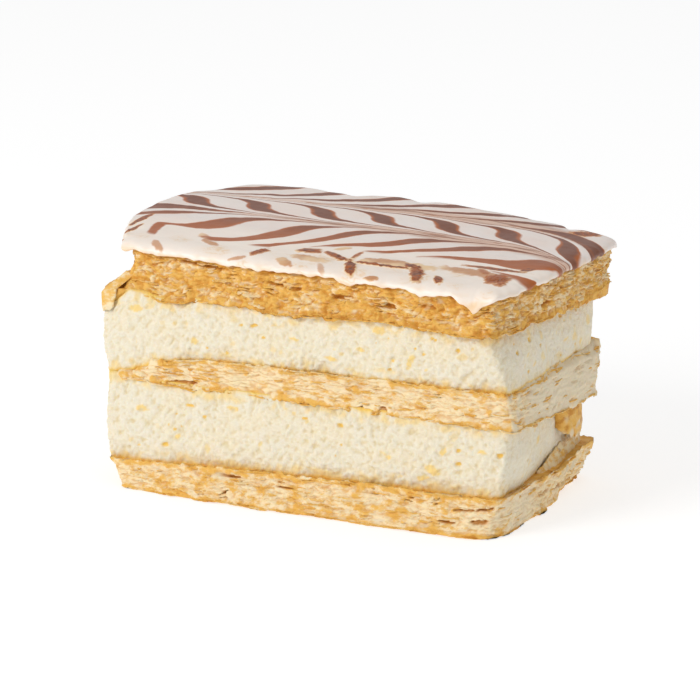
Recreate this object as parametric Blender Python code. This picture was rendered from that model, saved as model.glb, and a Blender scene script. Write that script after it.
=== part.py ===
"""A slice of mille feuille: three sheets of puff pastry, two layers of cream and a sheet of icing.

X runs along the slice from its left end to its right end, Y across it from the front face to the
back face, and Z up. The origin is on the table, under the middle of the slice's box. Every size
below is in millimetres, and add_mesh turns it into metres.

A layer is a solid between two boundaries, which are height fields shared with its neighbours, so
layers stay a gap apart however they wave. Its plan goes from one outline at its foot to another at
its crown, and both are four-cornered shapes with soft corners.
"""

import math

import bmesh
import bpy
from mathutils import Vector, noise

MM = 0.001
LENGTH = 110.0
WIDTH = 61.0

CELLS_ALONG = 20
CELLS_ACROSS = 11
SIDE_BANDS = 4
GAP = 0.36

CORNER_POWER = 10

WAVE_HEIGHT = 0.35
WAVE_LENGTH = 26.0
WOBBLE = 0.7
WOBBLE_LENGTH = 13.0
STRAY = 0.7
STRAY_LENGTH = 9.0
# Two noises this far apart, in wavelengths, have nothing to do with each other.
SEED_STEP = 7.0

SHARP_ANGLE = math.radians(40)

ICING_OVERHANG = 1.1
ICING_EDGE_DROP = 0.9
LIP_BASE = 0.9
LIP_WAVE = 0.7
LIP_GAP = 0.45

# The height of each boundary over the slice's corners: front left, front right, back right, back left.
BOUNDARIES = {
    "table": (0.0, 0.0, 0.0, 0.0),
    "base_top": (6.8, 10.2, 9.5, 8.0),
    "middle_under": (28.5, 28.2, 23.5, 28.0),
    "middle_top": (36.0, 37.2, 37.5, 36.5),
    "crown_under": (51.2, 52.2, 50.0, 54.5),
    "crown_top": (61.8, 61.6, 62.4, 65.2),
    "icing_top": (64.0, 63.7, 64.6, 67.4),
}

# Where a boundary swells or dips: its centre x and y, how far that reaches along x and y, its height.
SWELLS = {
    "base_top": [(0, -30, 34, 60, 0.7), (56, 18, 9, 9, 2.2)],
    "middle_under": [(-54, -30, 8, 20, 0.9), (4, 0, 30, 30, 0.6)],
    "middle_top": [(-57, -32, 16, 24, -6.2), (20, 4, 34, 30, 0.6)],
    "crown_under": [(-38, -30, 5, 8, -2.2), (-5, -30, 6, 8, -1.0), (22, -30, 9, 10, 0.8)],
    "crown_top": [(10, 32, 38, 26, 1.9)],
    "icing_top": [(10, 32, 38, 26, 2.1)],
}

# Each outline's corners: front left, front right, back right, back left. The slice twists a little
# as it rises, and its top sheet of pastry and the icing are turned clockwise.
OUTLINES = {
    "base_foot": ((-51.0, -33.2), (54.0, -34.0), (54.5, 28.5), (-50.5, 29.5)),
    "base_crown": ((-55.8, -31.8), (56.0, -32.4), (58.5, 29.0), (-54.0, 30.0)),
    "lower_foot": ((-56.2, -30.8), (55.5, -31.0), (51.5, 27.5), (-53.5, 29.0)),
    "lower_crown": ((-56.8, -30.5), (57.5, -30.6), (52.5, 27.5), (-54.0, 29.5)),
    "middle_foot": ((-55.8, -30.6), (58.5, -30.8), (59.0, 28.5), (-54.0, 30.5)),
    "middle_crown": ((-56.0, -30.4), (57.5, -30.8), (60.0, 28.8), (-53.5, 31.0)),
    "upper_foot": ((-57.4, -30.0), (56.5, -30.6), (57.5, 28.0), (-53.0, 31.0)),
    "upper_crown": ((-58.8, -28.4), (52.5, -32.4), (58.0, 27.0), (-51.5, 33.0)),
    "crown_foot": ((-59.4, -28.2), (53.5, -34.2), (60.8, 27.8), (-52.0, 34.0)),
    "crown_crown": ((-51.8, -25.6), (54.0, -33.2), (61.0, 29.3), (-48.0, 35.6)),
}

# How much of the half length and half width each corner loses: an outline's own, or the common ones.
COMMON_SOFTNESS = (0.008, 0.02, 0.045, 0.03)
SOFTNESS = {
    "base_foot": (0.02, 0.06, 0.05, 0.03),
    "crown_foot": (0.01, 0.015, 0.01, 0.03),
    "crown_crown": (0.01, 0.02, 0.015, 0.08),
}

# How far the middle of an outline's left side bows out.
LEFT_BOW = {"crown_foot": 2.6, "crown_crown": 9.0}
LEFT_BOW_POWER = 1.5

# Where the icing runs down over the pastry's edge: x, y, how wide, and how far below the rest.
DRIPS = (
    (50.5, -34.0, 4.0, 4.6),
    (30.0, -32.0, 9.0, 1.2),
    (-14.0, -29.0, 8.0, 1.4),
    (-30.0, -27.5, 4.0, 0.8),
    (-52.0, -24.0, 6.0, 1.6),
    (-53.0, 2.0, 8.0, 0.9),
    (59.0, 10.0, 3.5, 1.8),
    (20.0, 35.0, 8.0, 1.0),
)

COLOURS = {
    "pastry": ((0.78, 0.50, 0.20), 0.75),
    "cream": ((0.90, 0.80, 0.58), 0.60),
    "icing": ((0.86, 0.80, 0.76), 0.30),
}


def over_corners(values, u, v):
    """The value at (u, v), from -1 to 1 along and across, of four corner values."""
    front_left, front_right, back_right, back_left = values
    along, across = (u + 1) / 2, (v + 1) / 2
    front = front_left + (front_right - front_left) * along
    back = back_left + (back_right - back_left) * along
    return front + (back - front) * across


def boundary_height(name, x, y):
    """A boundary's height over a point of the plan."""
    height = over_corners(BOUNDARIES[name], 2 * x / LENGTH, 2 * y / WIDTH)
    if name == "table":
        return height
    for centre_x, centre_y, reach_x, reach_y, rise in SWELLS[name]:
        away = ((x - centre_x) / reach_x) ** 2 + ((y - centre_y) / reach_y) ** 2
        height += rise * math.exp(-away)
    # The crown's top and the icing's top wave together, so that the icing keeps its thickness.
    seed = 0.0 if name in ("crown_top", "icing_top") else SEED_STEP * sorted(BOUNDARIES).index(name)
    place = Vector((x / WAVE_LENGTH, y / WAVE_LENGTH, seed))
    return height + WAVE_HEIGHT * noise.noise(place)


def plan_point(outline, u, v):
    """The point (x, y) of an outline's inside at (u, v). The outline's corners are softened, its left
    side is bowed, and its edge wanders in and out, as a hand-cut one does."""
    softness = over_corners(SOFTNESS.get(outline, COMMON_SOFTNESS), u, v)
    soft_u = u * (1 - softness * abs(v) ** CORNER_POWER)
    soft_v = v * (1 - softness * abs(u) ** CORNER_POWER)
    corners = OUTLINES[outline]
    x = over_corners([corner[0] for corner in corners], soft_u, soft_v)
    y = over_corners([corner[1] for corner in corners], soft_u, soft_v)
    x -= LEFT_BOW.get(outline, 0.0) * (1 - v * v) ** LEFT_BOW_POWER * (1 - u) / 2
    seed = SEED_STEP * sorted(OUTLINES).index(outline)
    stray = noise.noise_vector(Vector((x / STRAY_LENGTH, y / STRAY_LENGTH, seed)))
    near_edge = max(abs(u), abs(v)) ** CORNER_POWER
    return Vector((x, y)) + stray.xy * (STRAY * near_edge)


def rim_cells():
    """The grid's border, counter-clockwise seen from above, as (column, row) pairs."""
    front = [(i, 0) for i in range(CELLS_ALONG)]
    right = [(CELLS_ALONG, j) for j in range(CELLS_ACROSS)]
    back = [(i, CELLS_ACROSS) for i in range(CELLS_ALONG, 0, -1)]
    left = [(0, j) for j in range(CELLS_ACROSS, 0, -1)]
    return front + right + back + left


def cell_uv(i, j):
    return 2 * i / CELLS_ALONG - 1, 2 * j / CELLS_ACROSS - 1


def rim_points(outline):
    return [plan_point(outline, *cell_uv(i, j)) for i, j in rim_cells()]


def outward_normals(points):
    """The outward direction at each point of a closed counter-clockwise loop."""
    count = len(points)
    normals = []
    for index in range(count):
        along = points[(index + 1) % count] - points[index - 1]
        normals.append(Vector((along.y, -along.x)).normalized())
    return normals


def wobble(x, y, z):
    """How far a side face stands out at a point, for a hand-cut look."""
    return WOBBLE * noise.noise(Vector((x, y, z)) / WOBBLE_LENGTH)


def grid_cap(bm, outline, height, upwards):
    """A cap at a height over an outline's inside, as its grid of vertices."""
    grid = {}
    for i in range(CELLS_ALONG + 1):
        for j in range(CELLS_ACROSS + 1):
            x, y = plan_point(outline, *cell_uv(i, j))
            grid[i, j] = bm.verts.new((x, y, height(x, y)))
    for i in range(CELLS_ALONG):
        for j in range(CELLS_ACROSS):
            corners = [grid[i, j], grid[i + 1, j], grid[i + 1, j + 1], grid[i, j + 1]]
            bm.faces.new(corners if upwards else corners[::-1])
    return grid


def join_rings(bm, lower, upper):
    """A band of faces between two rings of the same number of vertices, facing outwards."""
    count = len(lower)
    for index in range(count):
        after = (index + 1) % count
        bm.faces.new((lower[index], lower[after], upper[after], upper[index]))


def add_mesh(name, bm, material):
    """The finished node: triangles, in metres, with smooth shading but for its sharp edges."""
    bmesh.ops.triangulate(bm, faces=bm.faces)
    bmesh.ops.scale(bm, vec=(MM, MM, MM), verts=bm.verts)
    mesh = bpy.data.meshes.new(name)
    bm.to_mesh(mesh)
    bm.free()
    mesh.shade_smooth()
    mesh.set_sharp_from_angle(angle=SHARP_ANGLE)
    mesh.materials.append(material)
    node = bpy.data.objects.new(name, mesh)
    bpy.context.scene.collection.objects.link(node)
    return node


def add_layer(name, material, floor, ceiling, foot, crown, bulge, flare_power=1.0):
    """A layer between two boundaries. Its sides go from the foot outline to the crown outline, close
    to the crown's for longer with a higher flare_power, and stand out by bulge at half height."""
    half_gap = GAP / 2 if floor != "table" else 0.0
    bm = bmesh.new()
    bottom = grid_cap(bm, foot, lambda x, y: boundary_height(floor, x, y) + half_gap, False)
    top = grid_cap(bm, crown, lambda x, y: boundary_height(ceiling, x, y) - GAP / 2, True)
    lowest = [bottom[cell] for cell in rim_cells()]
    highest = [top[cell] for cell in rim_cells()]
    normals = outward_normals(rim_points(foot))
    below = lowest
    for band in range(1, SIDE_BANDS):
        share = band / SIDE_BANDS
        ring = []
        for foot_vert, crown_vert, normal in zip(lowest, highest, normals):
            low, high = foot_vert.co, crown_vert.co
            place = high + (low - high) * (1 - share) ** flare_power
            place.z = low.z + (high.z - low.z) * share
            stand_out = math.sin(math.pi * share) * (bulge + wobble(*place))
            place.xy += normal * stand_out
            ring.append(bm.verts.new(place))
        join_rings(bm, below, ring)
        below = ring
    join_rings(bm, below, highest)
    return add_mesh(name, bm, material)


def lip_depth(x, y):
    """How far the icing hangs below the pastry's top at a point of its edge."""
    depth = LIP_BASE + LIP_WAVE * noise.noise(Vector((x, y, 0)) / WOBBLE_LENGTH)
    for drip_x, drip_y, reach, fall in DRIPS:
        away = math.hypot(x - drip_x, y - drip_y) / reach
        depth += fall * math.exp(-(away**2))
    return depth


def add_icing(material):
    """A sheet of icing that lies on the top pastry and hangs over its edge in a lip."""
    outline = "crown_crown"
    bm = bmesh.new()
    points = rim_points(outline)
    inner, tip_in, tip_out, outer = [], [], [], []
    for point, normal in zip(points, outward_normals(points)):
        top = boundary_height("icing_top", *point)
        under = boundary_height("crown_top", *point) + GAP / 2
        tip = under - lip_depth(*point)
        beside_pastry = point + normal * LIP_GAP
        edge = point + normal * ICING_OVERHANG
        inner.append(bm.verts.new((*beside_pastry, under)))
        tip_in.append(bm.verts.new((*beside_pastry, tip)))
        tip_out.append(bm.verts.new((*edge, tip + GAP)))
        outer.append(bm.verts.new((*edge, top - ICING_EDGE_DROP)))
    bottom = grid_cap(bm, outline, lambda x, y: boundary_height("crown_top", x, y) + GAP / 2, False)
    top = grid_cap(bm, outline, lambda x, y: boundary_height("icing_top", x, y), True)
    underside = [bottom[cell] for cell in rim_cells()]
    upside = [top[cell] for cell in rim_cells()]
    section = [underside, inner, tip_in, tip_out, outer, upside]
    for before, after in zip(section, section[1:]):
        join_rings(bm, before, after)
    return add_mesh("icing", bm, material)


def make_material(name):
    colour, roughness = COLOURS[name]
    material = bpy.data.materials.new(name)
    material.use_nodes = True
    shader = material.node_tree.nodes["Principled BSDF"]
    shader.inputs["Base Color"].default_value = (*colour, 1)
    shader.inputs["Roughness"].default_value = roughness
    shader.inputs["Metallic"].default_value = 0.0
    return material


def centre_on_table(nodes):
    """Moves the nodes together, so that the origin is under the middle of their common box."""
    corners = [vertex.co for node in nodes for vertex in node.data.vertices]
    middle_x = (min(c.x for c in corners) + max(c.x for c in corners)) / 2
    middle_y = (min(c.y for c in corners) + max(c.y for c in corners)) / 2
    for node in nodes:
        node.location = (-middle_x, -middle_y, 0)


def main():
    for old in list(bpy.data.objects):
        bpy.data.objects.remove(old)
    pastry, cream, icing = (make_material(name) for name in ("pastry", "cream", "icing"))
    nodes = [
        add_layer("bottom_pastry", pastry, "table", "base_top", "base_foot", "base_crown", 0.3),
        add_layer("lower_cream", cream, "base_top", "middle_under", "lower_foot", "lower_crown", 1.0),
        add_layer("middle_pastry", pastry, "middle_under", "middle_top", "middle_foot", "middle_crown", 0.2),
        add_layer("upper_cream", cream, "middle_top", "crown_under", "upper_foot", "upper_crown", 0.8),
        add_layer("top_pastry", pastry, "crown_under", "crown_top", "crown_foot", "crown_crown", -0.4, 2.2),
        add_icing(icing),
    ]
    centre_on_table(nodes)


main()
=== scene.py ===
"""The looks of a slice of mille feuille, built round its CAD solids.

Lengths are in millimetres until a mesh is made. X runs along the slice, Y from its front face to its
back face, and Z up. Every layer's skin is read from its CAD node by rays and resampled as a fine grid:
columns go round the slice counter-clockwise from its front left corner, rows go up. Reliefs and
colours are fields over that grid. They are sums of noise, each term a height or a weight times noise
of a wavelength, with soft steps at the places that they are kept to.
"""

import itertools
import math

import bpy
import numpy as np
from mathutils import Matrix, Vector
from mathutils.bvhtree import BVHTree


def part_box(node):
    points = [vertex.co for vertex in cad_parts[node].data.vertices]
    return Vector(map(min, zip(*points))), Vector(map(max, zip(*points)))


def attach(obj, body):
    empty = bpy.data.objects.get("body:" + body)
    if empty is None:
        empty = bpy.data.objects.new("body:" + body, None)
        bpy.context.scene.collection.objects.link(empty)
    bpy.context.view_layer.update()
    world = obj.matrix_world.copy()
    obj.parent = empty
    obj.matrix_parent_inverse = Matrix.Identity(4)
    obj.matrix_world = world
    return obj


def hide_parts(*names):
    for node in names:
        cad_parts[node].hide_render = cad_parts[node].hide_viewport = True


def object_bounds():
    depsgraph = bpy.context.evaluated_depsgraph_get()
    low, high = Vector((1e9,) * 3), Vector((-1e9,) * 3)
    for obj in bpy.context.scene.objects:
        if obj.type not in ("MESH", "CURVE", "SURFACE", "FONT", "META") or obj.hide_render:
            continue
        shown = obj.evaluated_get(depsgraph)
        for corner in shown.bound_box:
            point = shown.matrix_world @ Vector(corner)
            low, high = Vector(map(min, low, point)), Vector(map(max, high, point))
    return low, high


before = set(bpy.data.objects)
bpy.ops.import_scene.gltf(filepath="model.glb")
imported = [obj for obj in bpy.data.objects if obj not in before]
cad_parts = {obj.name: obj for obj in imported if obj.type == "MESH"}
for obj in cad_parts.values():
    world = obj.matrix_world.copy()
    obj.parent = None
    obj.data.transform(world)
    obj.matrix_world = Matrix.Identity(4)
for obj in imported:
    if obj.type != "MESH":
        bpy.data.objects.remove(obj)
CAD_BOX = [list(corner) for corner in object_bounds()]

MM = 0.001
BOX_LOW, BOX_HIGH = (np.array(corner) / MM for corner in CAD_BOX)

# The camera looks at the front face and the right face.
CAMERA_AZIMUTH = math.radians(25.25)
CAMERA_ELEVATION = math.radians(15.54)
CAMERA_DISTANCE = 1000.0
CAMERA_TARGET = Vector((-8.41, 13.53, 30.0))
CAMERA_LENS = 194.9

# Rays aim at an inner rectangle, this far inside the slice's box, from columns beside its sides.
TRACK_INSET = 15.0
SIDE_COLUMNS = 180
RAY_START = 90.0
# A column's profile is read by rays from just below the wall to just above it.
PROFILE_RAYS = 110
PROFILE_MARGIN = 0.05
PROFILE_ROWS = 24
# A face counts as wall, and not as cap, where it is steeper than this.
WALL_SLOPE = 0.3
# Rings lie this far inwards from a wall's edge, over its cap. Rays read the cap a little further in,
# and a height that is a large step away from the edge's doesn't belong to the cap.
RING_INSETS = (0.35, 0.8, 1.4, 2.2, 3.2, 4.5, 6.5, 9.5)
RINGS = len(RING_INSETS)
CAP_RAY_START = 30.0
CAP_NUDGE = 0.4
CAP_STEP = 4.0

# The slice's faces, as outward directions over the plan.
FACES = FRONT, RIGHT, BACK, LEFT = ((0, -1), (1, 0), (0, 1), (-1, 0))

# The lamps: place, size and watts. They face the slice's middle.
LAMPS = {"key": ((-500, -900, 650), 500, 6.0), "top": ((100, 200, 1100), 700, 1.0)}
SLICE_MIDDLE = Vector((0, 0, 30))
# The floor lies this far below the slice. It glows a little, so that it stays pale.
FLOOR_GAP = 0.2
FLOOR_GREY = (0.5, 0.5, 0.5, 1)
FLOOR_GLOW = 0.62
ROOM_LIGHT = 0.56
WHITE = (1, 1, 1, 1)

# How thick loose leaves are.
FLAKE_THICKNESS = 0.18
CURTAIN_THICKNESS = 0.35


# ---- noise and fields


def hashed(cell, seed):
    """A random 32-bit number for each integer cell."""
    mixed = np.full(cell.shape[:-1], (seed * 2654435761 + 12345) & 0xFFFFFFFF, np.uint32)
    for axis, factor in enumerate((0x9E3779B1, 0x85EBCA77, 0xC2B2AE3D)):
        mixed ^= cell[..., axis].astype(np.uint32) * np.uint32(factor)
        mixed ^= mixed >> np.uint32(15)
        mixed *= np.uint32(0x2C1B3C6D)
        mixed ^= mixed >> np.uint32(13)
    return mixed


def noise(points, seed):
    """Smooth noise, from about -1 to 1, at points given in wavelengths."""
    cell = np.floor(points).astype(np.int64)
    inside = points - cell
    fade = inside**3 * (inside * (inside * 6 - 15) + 10)
    total = 0.0
    for corner in itertools.product((0, 1), repeat=3):
        random = hashed(cell + np.array(corner), seed)
        gradient = np.stack([(random >> shift & 1023) / 511.5 - 1 for shift in (0, 10, 20)], -1)
        weight = np.prod(np.where(corner, fade, 1 - fade), axis=-1)
        total = total + weight * np.sum(gradient * (inside - corner), axis=-1)
    return total * 1.4


def fractal(points, octaves, seed):
    """Noise with finer and weaker noise on top."""
    return sum(noise(points * 2**k, seed + 31 * k) / 2**k for k in range(octaves))


def at(*axes):
    """Points whose axes are the given fields."""
    return np.stack(np.broadcast_arrays(*axes), -1).astype(float)


def step(low, high, values):
    """A smooth step from 0 at low to 1 at high."""
    share = np.clip((values - low) / (high - low), 0, 1)
    return share * share * (3 - 2 * share)


def blurred(field, sigma, axis, wrap=False):
    """A field smoothed along an axis by a bell of sigma cells."""
    reach = max(1, int(3 * sigma))
    bell = np.exp(-0.5 * (np.arange(-reach, reach + 1) / sigma) ** 2)
    bell /= bell.sum()
    moved = np.moveaxis(field, axis, 0)
    padded = np.concatenate(
        [moved[-reach:], moved, moved[:reach]] if wrap else
        [np.repeat(moved[:1], reach, 0), moved, np.repeat(moved[-1:], reach, 0)]
    )
    count = len(moved)
    total = sum(weight * padded[k : k + count] for k, weight in enumerate(bell))
    return np.moveaxis(total, 0, axis)


def unit(vectors):
    """Vectors of length 1."""
    return vectors / np.maximum(np.linalg.norm(vectors, axis=-1, keepdims=True), 1e-9)


# ---- reading the CAD nodes


def track():
    """Each column's place on the inner rectangle, and its outward direction."""
    half = (BOX_HIGH - BOX_LOW)[:2] / 2 - TRACK_INSET
    centre = (BOX_HIGH + BOX_LOW)[:2] / 2
    starts, angles = [], []
    signs = ((-1, -1), (1, -1), (1, 1), (-1, 1))
    arc = TRACK_INSET * math.pi / 4
    for side in range(4):
        first, last = centre + half * signs[side], centre + half * signs[(side + 1) % 4]
        straight = np.linalg.norm(last - first)
        way = np.arange(SIDE_COLUMNS) / SIDE_COLUMNS * (straight + 2 * arc)
        share = np.clip((way - arc) / straight, 0, 1)
        turn = np.clip(way / arc, 0, 1) + np.clip((way - arc - straight) / arc, 0, 1) - 1
        starts.append(first + (last - first) * share[:, None])
        angles.append(math.radians(-90 + 90 * side) + turn * math.pi / 4)
    starts, angles = np.concatenate(starts), np.concatenate(angles)
    return starts, np.stack([np.cos(angles), np.sin(angles)], -1)


def solid(node):
    """A CAD node's faces, in millimetres, as a tree for rays."""
    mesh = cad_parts[node].data
    mesh.calc_loop_triangles()
    corners = [vertex.co / MM for vertex in mesh.vertices]
    return BVHTree.FromPolygons(corners, [tuple(t.vertices) for t in mesh.loop_triangles])


def read_profiles(tree, low, high, starts, outward):
    """The wall that rays from outside meet, as points (row, column, 3) from its foot to its top."""
    heights = np.linspace(low - PROFILE_MARGIN, high + PROFILE_MARGIN, PROFILE_RAYS)
    shares = np.linspace(0, 1, PROFILE_ROWS)
    columns = []
    for start, direction in zip(starts, outward):
        far = start + direction * RAY_START
        wall_z, wall_r = [], []
        for z in heights:
            hit, normal, _, _ = tree.ray_cast(Vector((*far, z)), Vector((*-direction, 0)), RAY_START)
            if hit is not None and math.hypot(normal.x, normal.y) > WALL_SLOPE * abs(normal.z):
                wall_z.append(z)
                wall_r.append(float(np.dot(hit.to_2d() - Vector(start), direction)))
        rows_z = wall_z[0] + (wall_z[-1] - wall_z[0]) * shares
        rows_r = np.interp(rows_z, wall_z, wall_r)
        flat = start + direction * rows_r[:, None]
        columns.append(np.concatenate([flat, rows_z[:, None]], -1))
    return np.stack(columns, 1)


def cap_heights(tree, edge, outward, side):
    """The heights of the cap at each inset from the wall's edge, as (ring, column). The side is 1
    for the cap that faces up and -1 for the one that faces down."""
    rings = []
    for inset in RING_INSETS:
        ring = []
        for place, direction in zip(edge, outward):
            x, y = place[:2] - direction * (inset + CAP_NUDGE)
            start = Vector((x, y, place[2] + side * CAP_RAY_START))
            hit, *_ = tree.ray_cast(start, Vector((0, 0, -side)))
            ring.append(place[2] if hit is None or abs(hit.z - place[2]) > CAP_STEP else hit.z)
        rings.append(ring)
    return np.array(rings)


class Skin:
    """A CAD node's surface as a fine grid: the wall's points (row, column, 3) from foot to top, and
    the rings that go on from it inwards, over the top and under the foot."""

    def __init__(self, node, row_height, column_width, smooth=1.2, counts=None):
        starts, outward = track()
        tree = solid(node)
        low, high = (np.array(corner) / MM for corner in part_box(node))
        coarse = read_profiles(tree, low[2], high[2], starts, outward)
        coarse = blurred(coarse, smooth, 1, wrap=True)
        top_rings = blurred(cap_heights(tree, coarse[-1], outward, 1), smooth, 1, wrap=True)
        foot_rings = blurred(cap_heights(tree, coarse[0], outward, -1), smooth, 1, wrap=True)

        middle = coarse[PROFILE_ROWS // 2]
        ahead = np.linalg.norm(np.roll(middle, -1, 0) - middle, axis=-1)
        run = np.concatenate([[0], np.cumsum(ahead)])
        wanted = []
        for side in range(4):
            first, last = run[side * SIDE_COLUMNS], run[(side + 1) * SIDE_COLUMNS]
            count = counts[side] if counts else round((last - first) / column_width)
            wanted.append(first + (last - first) * np.arange(count) / count)
        self.along = np.concatenate(wanted)
        self.round = run[-1]

        def resample(field):
            closed = np.concatenate([field, field[..., :1]], -1)
            flat = closed.reshape(-1, closed.shape[-1])
            fine = np.stack([np.interp(self.along, run, row) for row in flat])
            return fine.reshape(*field.shape[:-1], len(self.along))

        wall = np.moveaxis(resample(np.moveaxis(coarse, -1, 0)), 0, -1)
        thickness = (wall[-1, :, 2] - wall[0, :, 2]).mean()
        self.rows = max(8, round(thickness / row_height))
        self.share = np.linspace(0, 1, self.rows)
        positions = self.share * (PROFILE_ROWS - 1)
        below = np.minimum(positions.astype(int), PROFILE_ROWS - 2)
        part = (positions - below)[:, None, None]
        self.wall = wall[below] * (1 - part) + wall[below + 1] * part
        self.wall = blurred(self.wall, 1.0, 1, wrap=True)
        self.outward = unit(resample(outward.T).T)
        self.top_z, self.foot_z = resample(top_rings), resample(foot_rings)
        self.thickness = self.wall[-1, :, 2] - self.wall[0, :, 2]
        self.tree = tree
        across = np.roll(self.wall, -1, 1) - np.roll(self.wall, 1, 1)
        self.normal = unit(np.cross(across, np.gradient(self.wall, axis=0)))

    def column(self, face, place):
        """The number of the column on a face nearest to a place along it."""
        axis = 0 if face in (FRONT, BACK) else 1
        on_face = np.flatnonzero(self.outward @ np.array(face) > 0.6)
        return int(on_face[np.argmin(np.abs(self.wall[self.rows // 2, on_face, axis] - place))])

    def rings(self, edge, heights):
        """Rings inwards from an edge row of the wall, at the cap's heights."""
        flat = edge[:, :2] - self.outward * np.array(RING_INSETS)[:, None, None]
        return np.concatenate([flat, heights[..., None]], -1)

    def closed(self, wall, top_lift=0.0, foot_lift=0.0):
        """The wall's points with the rings that close it, foot first."""
        foot = self.rings(wall[0], self.foot_z + foot_lift)[::-1]
        return np.concatenate([foot, wall, self.rings(wall[-1], self.top_z + top_lift)])


# ---- meshes


def placed(name, data):
    """A new object in the scene."""
    thing = bpy.data.objects.new(name, data)
    bpy.context.scene.collection.objects.link(thing)
    return thing


def finished(name, points, faces, attributes, slot_name, *replaced):
    """The piece, in metres, with its attributes, which rides with the slice."""
    mesh = bpy.data.meshes.new(name)
    mesh.from_pydata((points.reshape(-1, 3) * MM).tolist(), [], faces)
    for key, values in attributes.items():
        layer = mesh.attributes.new(key, "FLOAT", "POINT")
        layer.data.foreach_set("value", values.astype(np.float32).ravel())
    mesh.shade_smooth()
    mesh.materials.append(MATERIALS[slot_name])
    piece = placed(name, mesh)
    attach(piece, "root")
    if replaced:
        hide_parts(*replaced)


def quads_of(number):
    """Quads between the points that a grid numbers."""
    corners = number[:-1, :-1], number[1:, :-1], number[1:, 1:], number[:-1, 1:]
    return np.stack(corners, -1).reshape(-1, 4)


def border_of(number):
    """The numbers round a grid's border."""
    return np.concatenate([number[:-1, 0], number[-1, :-1], number[:0:-1, -1], number[0, :0:-1]])


def closed_round(number):
    """A numbered grid with its first column again after its last."""
    return np.concatenate([number, number[:, :1]], 1)


def tube_faces(rows, columns):
    """Quads between rows of a grid whose columns close on themselves, and a face at each end."""
    number = np.arange(rows * columns).reshape(rows, columns)
    return [*quads_of(closed_round(number).T).tolist(), number[0, ::-1].tolist(), number[-1].tolist()]


def spread(fields):
    """A wall's fields carried on over the rings before and after it."""
    return {key: np.pad(field, ((RINGS, RINGS), (0, 0)), "edge") for key, field in fields.items()}


class Pile:
    """Many thin closed leaves that become one piece."""

    def __init__(self, *fields):
        self.points, self.faces, self.count = [], [], 0
        self.fields = {key: [] for key in fields}

    def add_leaf(self, grid, thickness, **values):
        """A leaf whose middle is a grid of points: two skins and the edge that joins them."""
        facing = unit(np.cross(np.gradient(grid, axis=0), np.gradient(grid, axis=1)))
        self.points += [(grid + facing * side * thickness / 2).reshape(-1, 3) for side in (1, -1)]
        number = self.count + np.arange(grid[..., 0].size).reshape(grid.shape[:2])
        quads, border, under = quads_of(number), border_of(number), number.size
        after = np.roll(border, -1)
        rim = np.stack([border, border + under, after + under, after], -1)
        self.faces += [*quads.tolist(), *(quads[:, ::-1] + under).tolist(), *rim.tolist()]
        self.count += 2 * under
        for key, parts in self.fields.items():
            parts += [np.broadcast_to(values.get(key, 0.0), number.shape).ravel()] * 2

    def piece(self, name, slot_name):
        """The leaves as one piece, none of which reaches below the floor."""
        points = np.concatenate(self.points)
        points[:, 2] = np.maximum(points[:, 2], 0.0)
        fields = {key: np.concatenate(parts) for key, parts in self.fields.items()}
        finished(name, points, self.faces, fields, slot_name)


# ---- materials

CREAM_PALE = (0.84, 0.77, 0.61)
CREAM_LIGHT = (0.93, 0.87, 0.74)
CREAM_WARM = (0.86, 0.76, 0.56)
CREAM_PATCH = (0.92, 0.67, 0.25)
# Painted shade, in the cream's creases.
CREAM_CREASE_SHADE = (0.76, 0.62, 0.36)
# The pits' own colour, also laid as painted shade in the gaps where the cream meets a sheet.
CREAM_PIT_AND_GAP_SHADE = (0.92, 0.58, 0.09)
CRUST_TAN = (0.80, 0.56, 0.30)
CRUST_TAN_DARK = (0.62, 0.36, 0.14)

CRUMB = (0.92, 0.75, 0.47)
GOLDEN = (0.82, 0.47, 0.10)
BROWN = (0.62, 0.27, 0.035)
# Painted shade, in the hollows between lumps.
CREVICE_SHADE = (0.64, 0.27, 0.025)
# Painted shade, in the slits and where loose leaves go into the sheet's side.
DEEP_SHADE_BROWN = (0.50, 0.19, 0.02)
# Smeared cream, its colour darkened with painted shade.
SMEAR_SHADED = (0.77, 0.67, 0.49)

ICING_WHITE = (0.86, 0.785, 0.735)
# Painted light: the lighter, warmer icing towards the front.
ICING_NEAR_LIT = (0.99, 0.87, 0.76)
ICING_PINK = (0.86, 0.74, 0.67)
ICING_THIN = (0.86, 0.60, 0.34)
ICING_MIXED = (0.72, 0.49, 0.37)
STREAK = (0.36, 0.17, 0.10)
SMEAR_TAN = (0.62, 0.31, 0.15)
CHOCOLATE = (0.20, 0.063, 0.028)
CHOCOLATE_THIN = (0.46, 0.115, 0.012)
# The usual distance between two lines of chocolate.
LINE_SPACING = 17.6


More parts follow.
